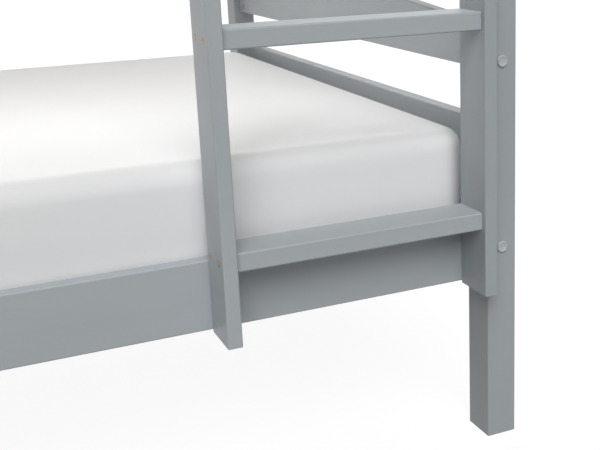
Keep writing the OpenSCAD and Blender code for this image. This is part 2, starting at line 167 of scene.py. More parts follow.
class BunkFittings(bpy.types.PropertyGroup):
    """The plastic caps, the brass screws and the zinc-plated steel."""

    cap: colour("Cap", "Moulded plastic of the bolt caps", (0.50, 0.525, 0.545))
    brass: colour("Brass", "Brassed screw heads", (0.55, 0.40, 0.22))
    tarnish: colour("Tarnish", "Darker tarnish on the brass", (0.23, 0.15, 0.085))
    zinc: colour("Zinc", "Zinc plate on bolts and nuts", (0.60, 0.62, 0.65))
    cap_rim: length("Cap Rim", "Width of the raised rim round a cap", 0.0021)
    cap_dish: length("Cap Dish", "Depth of the shallow dish inside the rim", 0.0009)
    cap_edge: length("Cap Edge", "Radius of the cap's outer edge", 0.0011)
    recess_width: length("Recess Width", "Width across the screw's cross recess", 0.0058)
    recess_depth: length("Recess Depth", "Depth of the screw's cross recess", 0.0026)
    round_steps: IntProperty(
        name="Round Steps", description="Points round each cap and screw head", min=24, default=48
    )


class BunkBedding(bpy.types.PropertyGroup):
    """The two foam mattresses and their fitted sheets."""

    cotton: colour("Cotton", "White cotton of the fitted sheet", (0.905, 0.910, 0.918))
    # Painted shade: this darker cotton stands in for the shade in the hollows between the raised
    # threads.
    shaded_cotton: colour("Cotton Weft", "Cotton between the raised threads", (0.875, 0.880, 0.888))
    ticking: colour("Ticking", "Knitted cover of the mattress", (0.80, 0.79, 0.76))
    plan_corner: length("Plan Corner", "Radius of the corners seen from above", 0.038)
    top_edge: length("Top Edge", "Radius of the sheeted top edge", 0.025)
    bottom_edge: length("Bottom Edge", "Radius of the bottom edge", 0.014)
    crown: length("Crown", "How much higher the middle of the top is than its edges", 0.003)
    belly: length("Belly", "How far the sides swell at half height", 0.0025)
    rest_gap: length("Rest Gap", "Room under the foot of the mattress block", 0.0003)
    cloth_gap: length("Sheet Stand-off", "From the foam to the outside of the sheet", 0.0013)
    tuck: length("Tuck", "How far the sheet runs in under the mattress", 0.075)
    hem_corner: length("Hem Corner", "Radius of the elastic hem's corners", 0.07)
    gather: length("Gather", "Height of the gathers along the elastic", 0.0007)
    hem_width: length("Hem Width", "Width of the rolled elastic hem", 0.006)
    hem_height: length("Hem Height", "Height of the rolled elastic hem", 0.002)
    pucker: length("Pucker", "Depth of the soft pulls at each corner seam", 0.0011)
    grid: length("Grid", "Distance between grid lines on the mattress top", 0.018)
    swell_cap: length("Swell Limit", "How far the foam may swell from its cut shape", 0.0022)
    quilt_pitch: length("Quilt Pitch", "Distance between the sewn diamonds below", 0.11)
    quilt_depth: length("Quilt Depth", "Depth of the sewn channels below", 0.0022)
    thread: length("Thread Pitch", "Distance from one thread of the sheet to the next", 0.0006)


class BunkStage(bpy.types.PropertyGroup):
    """The floor, the lights and the camera."""

    floor: length("Floor", "Width of the floor", 30.0)
    floor_white: share("Floor White", "How white the floor is to the light on the bed", 0.40)
    floor_glow: share("Floor Glow", "The floor's own white, which shadows don't darken", 0.92)
    floor_shade: share("Floor Shade", "The floor's white that shadows darken", 0.12)
    ambient: share("Ambient", "Even light from all round", 0.11)
    front: share("Front Light", "Light from the front", 0.685)
    front_height: bearing("Front Height", "Height of the front light", math.radians(45))
    front_turn: bearing("Front Turn", "Turn of the front light to the left", math.radians(18))
    back: FloatProperty(name="Back Light", description="Light from behind", min=0, default=1.03)
    back_height: bearing("Back Height", "Height of the back light", math.radians(25))
    back_turn: bearing("Back Turn", "Turn of the back light to the left", math.radians(4))
    softness: bearing("Softness", "Width of each light in the sky", math.radians(42))
    eye: FloatVectorProperty(
        name="Eye",
        description="Place of the camera",
        subtype="TRANSLATION",
        unit="LENGTH",
        size=3,
        default=(0.3028, -1.6200, 0.6844),
    )
    pan: bearing("Pan", "Turn of the camera to the right of straight on", 0.45533)
    tilt: bearing("Tilt", "How far the camera looks down", 0.24422)
    roll: bearing("Roll", "Lean of the camera about its own axis", -0.02249)
    lens: FloatProperty(
        name="Lens", description="Focal length", subtype="DISTANCE_CAMERA", default=61.344
    )
    shift: FloatVectorProperty(
        name="Shift", description="Sideways and upward lens shift", size=2, default=(-0.18, -0.09)
    )


# ---------------------------------------------------------------- materials


class Number:
    """A node's output that arithmetic can use: each operator adds the Math node that does it."""

    def __init__(self, nodes, socket):
        self.nodes = nodes
        self.socket = socket

    def __add__(self, other):
        return self.nodes.maths("ADD", self, other)

    def __sub__(self, other):
        return self.nodes.maths("SUBTRACT", self, other)

    def __rsub__(self, other):
        return self.nodes.maths("SUBTRACT", other, self)

    def __mul__(self, other):
        return self.nodes.maths("MULTIPLY", self, other)

    def __truediv__(self, other):
        return self.nodes.maths("DIVIDE", self, other)

    def __rtruediv__(self, other):
        return self.nodes.maths("DIVIDE", other, self)

    def __abs__(self):
        return self.nodes.maths("ABSOLUTE", self)

    def __floor__(self):
        return self.nodes.maths("FLOOR", self)

    __radd__ = __add__
    __rmul__ = __mul__

    def wave(self):
        """The sine of the number."""
        return self.nodes.maths("SINE", self)

    def ramp(self, low, high):
        """0 below low and 1 above high, with a smooth rise between them."""
        return self.nodes.node(
            "ShaderNodeMapRange",
            {"interpolation_type": "SMOOTHSTEP"},
            {0: self, 1: low, 2: high, 3: 0.0, 4: 1.0},
        )


class Nodes:
    """A node tree in the making, with one method that adds any node."""

    def __init__(self, tree):
        self.tree = tree
        tree.nodes.clear()

    def node(self, kind, settings=None, values=None, output=0):
        """Adds a node of that kind, sets its settings, then gives its sockets values or links."""
        made = self.tree.nodes.new(kind)
        for name, value in (settings or {}).items():
            setattr(made, name, value)
        for key, value in (values or {}).items():
            self.feed(made.inputs[key], value)
        return Number(self, made.outputs[output]) if made.outputs else None

    def maths(self, operation, *values):
        return self.node("ShaderNodeMath", {"operation": operation}, dict(enumerate(values)))

    def feed(self, socket, value):
        if isinstance(value, Number):
            self.tree.links.new(value.socket, socket)
        else:
            socket.default_value = value

    def seen_directly(self):
        """1 for rays from the camera, a mirror or a window, and 0 for rays that carry light."""
        camera, glossy, through = (
            self.node("ShaderNodeLightPath", output=f"Is {kind} Ray")
            for kind in ("Camera", "Glossy", "Transmission")
        )
        return self.maths("MAXIMUM", self.maths("MAXIMUM", camera, glossy), through)

    def matt(self, white):
        """A plain matt grey of that whiteness."""
        return self.node("ShaderNodeBsdfDiffuse", None, {"Color": (white, white, white, 1)})

    def choose(self, amount, low, high):
        """A blend of two shaders."""
        return self.node("ShaderNodeMixShader", None, {0: amount, 1: low, 2: high})


class Finish(Nodes):
    """A principled material in the making."""

    def __init__(self, name, **constants):
        self.material = bpy.data.materials.new(name)
        self.material.use_nodes = True
        super().__init__(self.material.node_tree)
        skin = self.node("ShaderNodeBsdfPrincipled")
        self.skin = skin.socket.node
        self.set(**constants)
        self.node("ShaderNodeOutputMaterial", None, {"Surface": skin})

    def set(self, **values):
        """Gives the skin's sockets their values or links."""
        for socket, value in values.items():
            self.feed(self.skin.inputs[socket.replace("_", " ")], value)
        return self.material

    def where(self, source="Object"):
        return self.node("ShaderNodeTexCoord", output=source)

    def stretched(self, where, scale, turn=(0, 0, 0), move=(0, 0, 0)):
        """A place turned, moved and scaled along each axis."""
        values = {"Vector": where, "Location": move, "Rotation": turn, "Scale": scale}
        return self.node("ShaderNodeMapping", None, values)

    def axis(self, where, name):
        """One coordinate of a place."""
        return self.node("ShaderNodeSeparateXYZ", None, {0: where}, output=name)

    def noise(self, where, scale, detail=2.0, roughness=0.5, distortion=0.0):
        values = {"Vector": where, "Scale": scale, "Detail": detail}
        values |= {"Roughness": roughness, "Distortion": distortion}
        return self.node("ShaderNodeTexNoise", None, values)

    def streaks(self, where, scale, detail=2.0, roughness=0.5, distortion=0.0):
        """Noise with its own scale for each axis, so that it runs out in streaks."""
        return self.noise(self.stretched(where, scale), 1.0, detail, roughness, distortion)

    def mix(self, amount, low, high):
        """A blend of two colours."""
        low, high = (x if isinstance(x, Number) else (*x, 1) for x in (low, high))
        values = {0: amount, 6: low, 7: high}
        return self.node("ShaderNodeMix", {"data_type": "RGBA"}, values, output=2)

    def bump(self, height, distance, strength=1.0):
        """Links a height from 0 to 1 to the normal, so that 1 stands that distance proud."""
        values = {"Height": height, "Distance": distance, "Strength": strength}
        self.set(Normal=self.node("ShaderNodeBump", None, values))


def along(axis, with_grain, across):
    """A scale for each axis: one along the grain and another across it."""
    return tuple(with_grain if name == axis else across for name in "XYZ")


def paint_finish(name, axis, paint, tone=1.0):
    """Rolled satin paint over planed wood: long grain lines stand faintly proud, hands have dulled
    soft patches, the roller leaves a fine stipple, and end grain drinks the paint."""
    finish = Finish(name, IOR=1.45)
    # A tone under 1 darkens the whole paint, as painted shade for the shaded pieces.
    body, dulled, sunk = (
        tuple(tone * x for x in shade) for shade in (paint.body, paint.worn, paint.end_grain)
    )
    where = finish.where()
    grain = finish.streaks(where, along(axis, 3.0, 85.0), 5.0, 0.62, 0.35)
    pores = finish.streaks(where, along(axis, 26.0, 900.0))
    patches = finish.streaks(where, along(axis, 3.2, 9.0), 3.0, 0.55, 0.4)
    stipple = finish.noise(where, 1100.0, detail=1.0)
    end = abs(finish.axis(finish.where("Normal"), axis)).ramp(0.80, 0.97)
    worn = patches.ramp(0.40, 0.68)
    face = finish.mix(worn * 0.75 + grain * 0.25, body, dulled)
    lines = grain.ramp(0.56, 0.74) * (1 - end)
    height = grain * (1 - end) * 0.75 + pores * 0.25
    finish.bump(height + stipple * (paint.orange_peel / paint.grain_depth), paint.grain_depth)
    matt = paint.roughness + worn * 0.07 + end * 0.16
    return finish.set(
        Base_Color=finish.mix(end * 0.85 + lines * 0.14, face, sunk),
        Roughness=matt - lines * 0.03 + (stipple - 0.5) * 0.05,
    )


def pine_finish(name, axis, timber, pitch=None, start=0.0):
    """Planed pine: growth rings round a heart that lies under the board and leans a little, so that
    they run out in long arches, with late wood darker at each ring's edge, thin pores along the
    grain and a knot here and there. With a pitch, each board along X takes its own part of the
    log."""
    finish = Finish(name, IOR=1.45)
    where = finish.where()
    if pitch:
        board = math.floor((finish.axis(where, "X") - start) / pitch)
        shifted = finish.node(
            "ShaderNodeTexWhiteNoise", {"noise_dimensions": "1D"}, {"W": board}, output="Color"
        )
        reach = {0: shifted, 1: (0.11, 7.0, 0.05)}
        shove = finish.node("ShaderNodeVectorMath", {"operation": "MULTIPLY"}, reach)
        where = finish.node("ShaderNodeVectorMath", {"operation": "ADD"}, {0: where, 1: shove})
    lean = {"X": (0.0, 0.016, 0.03), "Y": (0.016, 0.0, 0.03)}[axis]
    log = finish.stretched(where, (1, 1, 1), turn=lean, move=(0.02, 0.01, 0.035))
    wander = finish.streaks(log, along(axis, 1.3, 11.0), 3.0)
    knots = finish.node(
        "ShaderNodeTexVoronoi",
        {"voronoi_dimensions": "2D"},
        {
            "Vector": finish.stretched(where, along(axis, 0.8, 1.2)),
            "Scale": 1 / timber.knot_gap,
            "Randomness": 1.0,
        },
    )
    heart = 1 - knots.ramp(0.018, 0.042)
    halo = 1 - knots.ramp(0.03, 0.16)
    rings = finish.node(
        "ShaderNodeTexWave",
        {"wave_type": "RINGS", "rings_direction": axis, "wave_profile": "SAW"},
        {
            "Vector": log,
            "Scale": TAU / WAVE_TURNS / timber.ring_gap,
            "Distortion": wander * 9 + halo * 6,
            "Detail": 2.0,
            "Detail Scale": 1.4,
            "Detail Roughness": 0.5,
        },
        output="Fac",
    )
    pores = finish.streaks(where, along(axis, 18.0, 720.0))
    tone = finish.streaks(where, along(axis, 0.7, 4.0))
    late = rings.ramp(0.35, 1.0) * 0.62 + tone * 0.28 + pores * 0.14
    clear = finish.mix(late, timber.early, timber.late)
    finish.bump(rings * 0.5 + pores * 0.5 + heart * 0.4, 0.00015)
    return finish.set(
        Base_Color=finish.mix(heart, finish.mix(halo * 0.45, clear, timber.late), timber.knot),
        Roughness=0.52 + pores * 0.14 - heart * 0.12,
    )


def beech_finish(timber):
    """Turned beech: an even pink-brown with short dark flecks, whichever way a dowel lies."""
    finish = Finish("beech", IOR=1.45)
    where = finish.where()
    fleck = finish.streaks(where, (240, 240, 240), 3.0, 0.6, 1.2).ramp(0.55, 0.72)
    tone = finish.noise(where, 14.0)
    finish.bump(fleck, 0.0001)
    return finish.set(
        Base_Color=finish.mix(fleck * 0.7 + tone * 0.3, timber.beech, timber.fleck),
        Roughness=0.5 + fleck * 0.12,
    )


def cap_finish(fittings):
    """Moulded plastic with a fine spark-eroded grain and a slow change of gloss."""
    finish = Finish("cap_plastic", IOR=1.49)
    where = finish.where()
    grain = finish.noise(where, 2600.0)
    drift = finish.noise(where, 90.0)
    finish.bump(grain, 0.00003)
    paler = tuple(1.08 * x for x in fittings.cap)
    return finish.set(
        Base_Color=finish.mix(drift, fittings.cap, paler),
        Roughness=0.30 + drift * 0.08 + grain * 0.05,
    )


def brass_finish(fittings):
    """Brassed steel with turning marks and brown tarnish that gathers in the low places."""
    finish = Finish("brass_screw", Metallic=1.0)
    where = finish.where()
    tarnish = finish.noise(where, 420.0, 4.0, 0.6, 0.5).ramp(0.42, 0.66)
    turning = finish.noise(where, 3000.0)
    finish.bump(turning, 0.00003)
    return finish.set(
        Base_Color=finish.mix(tarnish * 0.8, fittings.brass, fittings.tarnish),
        Roughness=0.3 + tarnish * 0.2 + turning * 0.06,
    )


def zinc_finish(fittings):
    """Zinc plate with its faint crystalline clouding."""
    finish = Finish("zinc", Metallic=1.0)
    cloud = finish.noise(finish.where(), 260.0, 4.0, 0.6)
    duller = tuple(0.82 * x for x in fittings.zinc)
    finish.bump(cloud, 0.00004)
    return finish.set(
        Base_Color=finish.mix(cloud, fittings.zinc, duller), Roughness=0.28 + cloud * 0.16
    )


def cotton_finish(bedding):
    """Plain-woven cotton: warp and weft threads cross at the thread pitch on the cloth's own flat
    coordinates, each thread a little thicker or thinner along its run, over a soft unevenness
    where the cloth meets the foam. The hollows between the threads are darkened as painted shade."""
    finish = Finish("fitted_sheet", IOR=1.45, Sheen_Weight=0.12, Sheen_Roughness=0.55)
    cloth = finish.where("UV")
    turns = TAU / (2 * bedding.thread)
    warp, weft = (finish.axis(cloth, name) * turns for name in "XY")
    weave = warp.wave() * weft.wave() * 0.5 + 0.5
    slubs_x = finish.streaks(cloth, (30, 1400, 1))
    slubs_y = finish.streaks(cloth, (1400, 30, 1))
    slubs = slubs_x * 0.5 + slubs_y * 0.5
    soft = finish.noise(finish.where(), 13.0, 3.0, 0.55)
    finish.bump(weave * 0.10 + slubs * 0.14 + soft * 0.9, 0.0009, 0.6)
    # Painted shade in the hollows between the raised threads, mixed with the slubs' real tone and a
    # soft mottle.
    between = (1 - weave) * 0.35 + slubs * 0.45 + soft * 0.2
    return finish.set(
        Base_Color=finish.mix(between, bedding.cotton, bedding.shaded_cotton),
        Roughness=0.88 + slubs * 0.1,
    )


def ticking_finish(bedding):
    """Knitted mattress cover: rows of small loops in object coordinates over a slow unevenness."""
    finish = Finish("ticking", IOR=1.45, Sheen_Weight=0.2, Sheen_Roughness=0.5)
    where = finish.where()
    rows, columns = (finish.axis(where, name) * (TAU / KNIT_PITCH) for name in "XY")
    knit = rows.wave() * (columns * 0.5).wave() * 0.5 + 0.5
    soft = finish.noise(where, 30.0, 3.0)
    darker = tuple(0.86 * x for x in bedding.ticking)
    finish.bump(knit * 0.5 + soft, 0.0006, 0.7)
    return finish.set(
        Base_Color=finish.mix(knit * 0.4 + soft * 0.4, bedding.ticking, darker),
        Roughness=0.85 + soft * 0.1,
    )


def dress(names, material):
    """Gives CAD nodes a finish through their material slots."""
    for name in names:
        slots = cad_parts[name].material_slots
        if not slots:
            raise RuntimeError(f"{name} has no material slot")
        for slot in slots:
            slot.material = material


# ---------------------------------------------------------------- meshes


def mesh_piece(name, points, faces, material, uv=None):
    """A new object at the origin with those points and four-sided or three-sided faces."""
    mesh = bpy.data.meshes.new(name)
    mesh.from_pydata(points.tolist(), [], faces if isinstance(faces, list) else faces.tolist())
    mesh.polygons.foreach_set("use_smooth", np.full(len(mesh.polygons), True))
    if uv is not None:
        corners = np.zeros(len(mesh.loops), np.int32)
        mesh.loops.foreach_get("vertex_index", corners)
        layer = mesh.uv_layers.new(name="cloth")
        layer.uv.foreach_set("vector", uv[corners].astype(np.float32).ravel())
    mesh.materials.append(material)
    piece = bpy.data.objects.new(name, mesh)
    bpy.context.scene.collection.objects.link(piece)
    return piece


def grid_faces(rows, columns, start=0, closed=False):
    """The four corners of each cell of a grid whose points are numbered row by row. A closed grid
    joins its last column to its first."""
    row = np.arange(rows - 1)[:, None] * columns
    column = np.arange(columns if closed else columns - 1)[None, :]
    right = (column + 1) % columns
    corners = [row + column, row + right, row + columns + right, row + columns + column]
    return start + np.stack([corner + 0 * row for corner in corners], -1).reshape(-1, 4)


def clusters(points, gap):
    """Splits points into groups wherever a gap wider than that opens between them along an axis."""
    groups = [points]
    for axis in (0, 1, 2, 0, 1, 2):
        ordered = [group[np.argsort(group[:, axis])] for group in groups]
        groups = [
            part
            for group in ordered
            for part in np.split(group, np.flatnonzero(np.diff(group[:, axis]) > gap) + 1)
        ]
    return groups


def node_points(name):
    """The corner points of a CAD node."""
    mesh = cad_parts[name].data
    points = np.zeros(len(mesh.vertices) * 3, np.float32)
    mesh.vertices.foreach_get("co", points)
    return points.reshape(-1, 3).astype(float)


def turned(profile, steps, outline=None):
    """A closed turned form about +Z. Each profile row is (radius, height, cut), and the first and
    last lie on the axis: a row's radius is carried round a circle, and where cut is 1 it is scaled
    by the outline, one number for each step.
    Returns the points, the triangles that close the two ends, and the quads between them."""
    rows = np.array(profile)
    angle = np.arange(steps) * TAU / steps
    outline = np.ones(steps) if outline is None else outline
    radius, height, cut = (rows[1:-1, k][:, None] for k in range(3))
    reach = radius * (1 - cut + cut * outline)
    rings = np.stack([reach * np.cos(angle), reach * np.sin(angle), height + 0 * reach], -1)
    points = np.vstack([rings.reshape(-1, 3), [[0, 0, rows[0, 1]], [0, 0, rows[-1, 1]]]])
    near = np.arange(steps)
    after = (near + 1) % steps
    top, foot = len(points) - 2, len(points) - 1
    last = top - steps
    fans = np.vstack([
        np.stack([near * 0 + top, near, after], -1),
        np.stack([near * 0 + foot, last + after, last + near], -1),
    ])
    return points, fans, grid_faces(len(rows) - 2, steps, closed=True)[:, ::-1]


def set_at(form, centre, axis, way):
    """Turns a form made about +Z until +Z points out along that axis, with its origin at centre."""
    out = np.zeros(3)
    out[axis] = way
    side = np.roll(np.abs(out), 1)
    points, fans, quads = form
    return centre + points @ np.stack([side, np.cross(out, side), out]), fans, quads


def join_forms(name, forms, material):
    """One piece from many forms."""
    starts = np.cumsum([0] + [len(points) for points, _, _ in forms[:-1]])
    faces = [(part + start).tolist() for form, start in zip(forms, starts) for part in form[1:]]
    points = np.vstack([form[0] for form in forms])
    piece = mesh_piece(name, points, sum(faces, []), material)
    piece.data.set_sharp_from_angle(angle=math.radians(SHARP_DEGREES))
    return piece


def hood(rings, columns, rows):
    """A mattress skin drawn on one flat grid. Each ring row is (half length, half width, corner
    radius, height), from the inner flat rectangle outwards. Inside that rectangle the grid is
    even. Outside it, the number of cells past the rectangle picks the ring, a straight side keeps
    its share of that ring's straight length, and the square block of cells past each corner turns
    round the ring's corner arc, from one side to the other.
    Returns the points, each point's ring and its angle round the corner, as (columns, rows)."""
    half_x, half_y, corner, height = (np.array(rings)[:, k] for k in range(4))
    count = len(rings) - 1
    i = np.arange(-columns - count, columns + count + 1)[:, None]
    j = np.arange(-rows - count, rows + count + 1)[None, :]
    past_x, past_y = np.maximum(abs(i) - columns, 0) + 0 * j, np.maximum(abs(j) - rows, 0) + 0 * i
    ring = np.maximum(past_x, past_y)
    slant = np.minimum(past_x, past_y) / np.maximum(ring, 1) * math.pi / 4
    angle = np.where(past_x >= past_y, slant, math.pi / 2 - slant)
    r = corner[ring]
    turn_x = np.sign(i) * np.cos(angle) * r * (past_x > 0)
    turn_y = np.sign(j) * np.sin(angle) * r * (past_y > 0)
    x = np.clip(i / columns, -1, 1) * (half_x[ring] - r) + turn_x
    y = np.clip(j / rows, -1, 1) * (half_y[ring] - r) + turn_y
    return np.stack([x, y, height[ring] + 0 * x], -1), ring, angle


def arc(centre, radius, start, end, steps):
    """Points round part of a circle, its first point left out."""
    angle = np.linspace(start, end, steps + 1)[1:]
    return [(centre[0] + radius * math.cos(a), centre[1] + radius * math.sin(a)) for a in angle]


def side_rings(half, tall, bedding, to_middle=False):
    """The rings of a mattress skin from the top outwards: a flat top, the soft top edge, a slightly
    swollen side and, unless it stops half way down the side, the bottom edge."""
    reach, edge, foot = bedding.plan_corner, bedding.top_edge, bedding.bottom_edge
    side = [(0.0, tall), (0.5 * (reach - edge), tall), (reach - edge, tall)]
    side += arc((reach - edge, tall - edge), edge, math.pi / 2, 0, 6)
    low, points = (tall / 2, 5) if to_middle else (foot, 8)
    side += [(reach, h) for h in np.linspace(tall - edge, low, points)[1:]]
    if not to_middle:
        side += arc((reach - foot, foot), foot, 0, -math.pi / 2, 4)
    swell = [bedding.belly * math.sin(math.pi * h / tall) ** 2 for _, h in side]
    return [
        (half[0] - reach + out + s, half[1] - reach + out + s, out + s, h)
        for (out, h), s in zip(side, swell)
    ]


def tuck_rings(half, bedding, steps=5):
    """The rings from the bottom edge in under the mattress to the elastic hem, with rounder corners
    step by step."""
    share_in = np.linspace(0, 1, steps + 1)[1:, None]
    foot, tuck = bedding.bottom_edge, bedding.tuck
    start = np.array([half[0] - foot, half[1] - foot, bedding.plan_corner - foot, 0])
    end = np.array([half[0] - tuck, half[1] - tuck, bedding.hem_corner, 0])
    return [tuple(row) for row in start + (end - start) * share_in]


def block_of(level, bedding, inset=0.0):
    """The half length and half width of a mattress's CAD block drawn in by inset, its height before
    it is crowned, and the middle of its underside."""
    low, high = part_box(f"{level}_mattress")
    half = ((high.x - low.x) / 2 - inset, (high.y - low.y) / 2 - inset)
    foot = np.array([(low.x + high.x) / 2, (low.y + high.y) / 2, low.z + bedding.rest_gap])
    return half, high.z - foot[2] - bedding.crown / 2 - inset, foot


def cells(half, bedding):
    """How many grid cells lie between the middle of the mattress and each side's rounding."""
    return [max(4, round((h - bedding.plan_corner) / bedding.grid)) for h in half]


def crown(points, half, tall, bedding):
    """Lifts the top by a parabola in each direction, fading to nothing at the foot."""
    bow = (1 - (points[..., 0] / half[0]) ** 2) * (1 - (points[..., 1] / half[1]) ** 2)
    points[..., 2] += bedding.crown * np.clip(bow, 0, 1) * np.clip(points[..., 2] / tall, 0, 1)
    return points


def foam_form(level, bedding):
    """The foam block as one closed form: a hood for the top half and its mirror for the bottom
    half. Below, it is flat where it rests, raised round the edge where the sheet passes under it,
    and sewn in diamonds: a channel lies where the sum or the difference of the two plan distances
    is a whole number of pitches."""
    half, tall, foot = block_of(level, bedding, bedding.cloth_gap)
    columns, rows = cells(half, bedding)
    top, _, _ = hood(side_rings(half, tall, bedding, to_middle=True), columns, rows)
    bottom = top * (1, 1, -1) + (0, 0, tall)
    top = crown(top, half, tall, bedding)
    inside = np.minimum(half[0] - abs(bottom[..., 0]), half[1] - abs(bottom[..., 1]))
    under = (bottom[..., 2] < bedding.top_edge) * 1.0
    step = np.clip((inside - bedding.tuck - bedding.hem_width) / LIFT_FADE, 0, 1)
    lift = (bedding.hem_height + HEM_CLEARANCE) * (1 - step * step * (3 - 2 * step))
    turns = [(bottom[..., 0] + sign * bottom[..., 1]) / bedding.quilt_pitch for sign in (1, -1)]
    from_seam = np.minimum(*[abs(t - np.round(t)) for t in turns]) * bedding.quilt_pitch
    channel = bedding.quilt_depth * np.exp(-((from_seam / SEAM_SPREAD) ** 2)) * step
    bottom[..., 2] += (lift + channel) * under
    faces = grid_faces(*top.shape[:2])
    points = np.vstack([top.reshape(-1, 3), bottom.reshape(-1, 3)]) + foot
    return points, np.vstack([faces[:, ::-1], faces + top[..., 0].size])


def sheet_form(level, bedding):
    """The fitted sheet as one open form on the grid of its flat cut: over the top, down the sides
    and in under the mattress to the hem. Soft pulls fan out round each corner towards the elastic,
    and the hem is gathered, one cell up and the next down. The flat coordinates are the distances
    along the cloth from its middle.
    Returns the points, the faces, the flat coordinates, which points the elastic holds, the flat
    cut's width and length, and its area without the square dart at each corner."""
    half, tall, foot = block_of(level, bedding)
    columns, rows = cells(half, bedding)
    rings = side_rings(half, tall, bedding) + tuck_rings(half, bedding)
    points, ring, angle = hood(rings, columns, rows)
    profile = np.array(rings)[:, [0, 3]]
    run = np.concatenate([[0], np.cumsum(np.linalg.norm(np.diff(profile, axis=0), axis=1))])
    points = crown(points, half, tall, bedding)
    low = np.clip(1 - points[..., 2] / tall, 0, 1) * (points[..., 2] > bedding.bottom_edge)
    fan = np.sin(angle * CORNER_PULLS) * np.sin(2 * angle) ** 2
    pull = bedding.pucker * fan * low**1.4
    points[..., 0] += np.sign(points[..., 0]) * pull * np.cos(angle)
    points[..., 1] += np.sign(points[..., 1]) * pull * np.sin(angle)
    count = len(rings) - 1
    i, j = np.indices(ring.shape)
    near_hem = np.clip((ring - count + GATHER_RINGS) / GATHER_RINGS, 0, 1)
    points[..., 2] += bedding.gather * (1 + near_hem * np.where((i + j) % 2, 1, -1))
    flat = [
        np.clip((k - reach - count) / reach, -1, 1) * (side - bedding.plan_corner)
        + np.sign(k - reach - count) * run[np.maximum(abs(k - reach - count) - reach, 0)]
        for k, reach, side in ((i, columns, half[0]), (j, rows, half[1]))
    ]
    flat = np.stack(flat, -1).reshape(-1, 2)
    width, long = (2 * float(k) for k in sorted(flat.max(0)))
    dart = float(run[-1]) - bedding.plan_corner
    held = (ring > count - HELD_RINGS).ravel()
    faces = grid_faces(*ring.shape)[:, ::-1]
    area = width * long - 4 * dart**2
    return points.reshape(-1, 3) + foot, faces, flat, held, (width, long), area


def hem_form(level, bedding):
    """The rolled elastic hem: an oval carried along the hem's rounded rectangle, its height
    rippling with the gathers. The rectangle is walked by its arc length, straight, corner,
    straight, corner."""
    half, _, foot = block_of(level, bedding)
    radius = bedding.hem_corner
    straight = [2 * (h - bedding.tuck - radius) for h in half]
    around = 2 * sum(straight) + TAU * radius
    distance = np.arange(HEM_STEPS) * around / HEM_STEPS
    turn = math.pi / 2 * radius
    line = np.zeros((HEM_STEPS, 2))
    outward = np.zeros((HEM_STEPS, 2))
    start = 0.0
    for side in range(4):
        long, other = straight[side % 2], straight[(side + 1) % 2]
        face = np.array([math.sin(side * math.pi / 2), -math.cos(side * math.pi / 2)])
        way = np.array([-face[1], face[0]])
        t = (distance - start)[:, None]
        on_side = (t >= 0) & (t < long)
        on_turn = (t >= long) & (t < long + turn)
        line = np.where(on_side, face * (other / 2 + radius) + way * (t - long / 2), line)
        outward = np.where(on_side, face, outward)
        bend = (t - long) / radius
        spoke = face * np.cos(bend) + way * np.sin(bend)
        line = np.where(on_turn, face * other / 2 + way * long / 2 + radius * spoke, line)
        outward = np.where(on_turn, spoke, outward)
        start += long + turn
    section = np.arange(HEM_SIDES) * TAU / HEM_SIDES
    ripple = 1 + 0.16 * np.sin(distance * TAU / GATHER_PITCH)[:, None]
    across = (np.cos(section) * bedding.hem_width / 2 * ripple)[..., None]
    up = bedding.hem_height / 2 * (1 + np.sin(section)) * (0.86 + 0.14 * ripple)
    points = np.concatenate([line[:, None, :] + outward[:, None, :] * across, up[..., None]], -1)
    faces = grid_faces(HEM_STEPS + 1, HEM_SIDES, closed=True) % (HEM_STEPS * HEM_SIDES)
    return points.reshape(-1, 3) + foot, faces[:, ::-1]


def swollen(points, faces, held, cap):
    """How foam pressing out moves each point of its cover: Cloth pressure with no gravity blows the
    sheet out a little from its held hem. The part of a move that would go into the foam is taken
    away, and no move is longer than cap."""
    cut = mesh_piece("swelling", points, faces, None)
    outward = np.zeros(len(points) * 3, np.float32)
    cut.data.vertex_normals.foreach_get("vector", outward)
    outward = outward.reshape(-1, 3)
    cut.vertex_groups.new(name="held").add(np.flatnonzero(held).tolist(), 1.0, "REPLACE")
    cloth = cut.modifiers.new("Swell", "CLOTH")
    cloth.settings.vertex_group_mass = "held"
    cloth.settings.use_pressure = True
    cloth.settings.uniform_pressure_force = 4.0
    cloth.settings.effector_weights.gravity = 0.0
    cloth.settings.bending_stiffness = 5.0
    cloth.point_cache.frame_end = SWELL_FRAMES
    for step in range(1, SWELL_FRAMES + 1):
        bpy.context.scene.frame_set(step)
    shape = cut.evaluated_get(bpy.context.evaluated_depsgraph_get()).to_mesh()
    result = np.zeros(len(shape.vertices) * 3, np.float32)
    shape.vertices.foreach_get("co", result)
    bpy.context.scene.frame_set(1)
    bpy.data.objects.remove(cut)
    moved = result.reshape(-1, 3) - points
    moved -= outward * np.minimum((moved * outward).sum(1, keepdims=True), 0)
    size = np.linalg.norm(moved, axis=1, keepdims=True)
    return moved * np.minimum(1, cap / np.maximum(size, 1e-9))


def subdivide(piece, levels=1):
    smooth = piece.modifiers.new("Smooth", "SUBSURF")
    smooth.levels = smooth.render_levels = levels
    return piece


# ---------------------------------------------------------------- stage


def floor_finish(stage):
    """A pale floor. It gives light back as a plain matt white, and looks white itself, with soft
    pale shadows."""
    material = bpy.data.materials.new("studio_floor")
    material.use_nodes = True
    nodes = Nodes(material.node_tree)
    glow = nodes.node("ShaderNodeEmission", None, {"Strength": stage.floor_glow})
    seen = nodes.node("ShaderNodeAddShader", None, {0: nodes.matt(stage.floor_shade), 1: glow})
    both = nodes.choose(nodes.seen_directly(), nodes.matt(stage.floor_white), seen)
    nodes.node("ShaderNodeOutputMaterial", None, {"Surface": both})
    return material


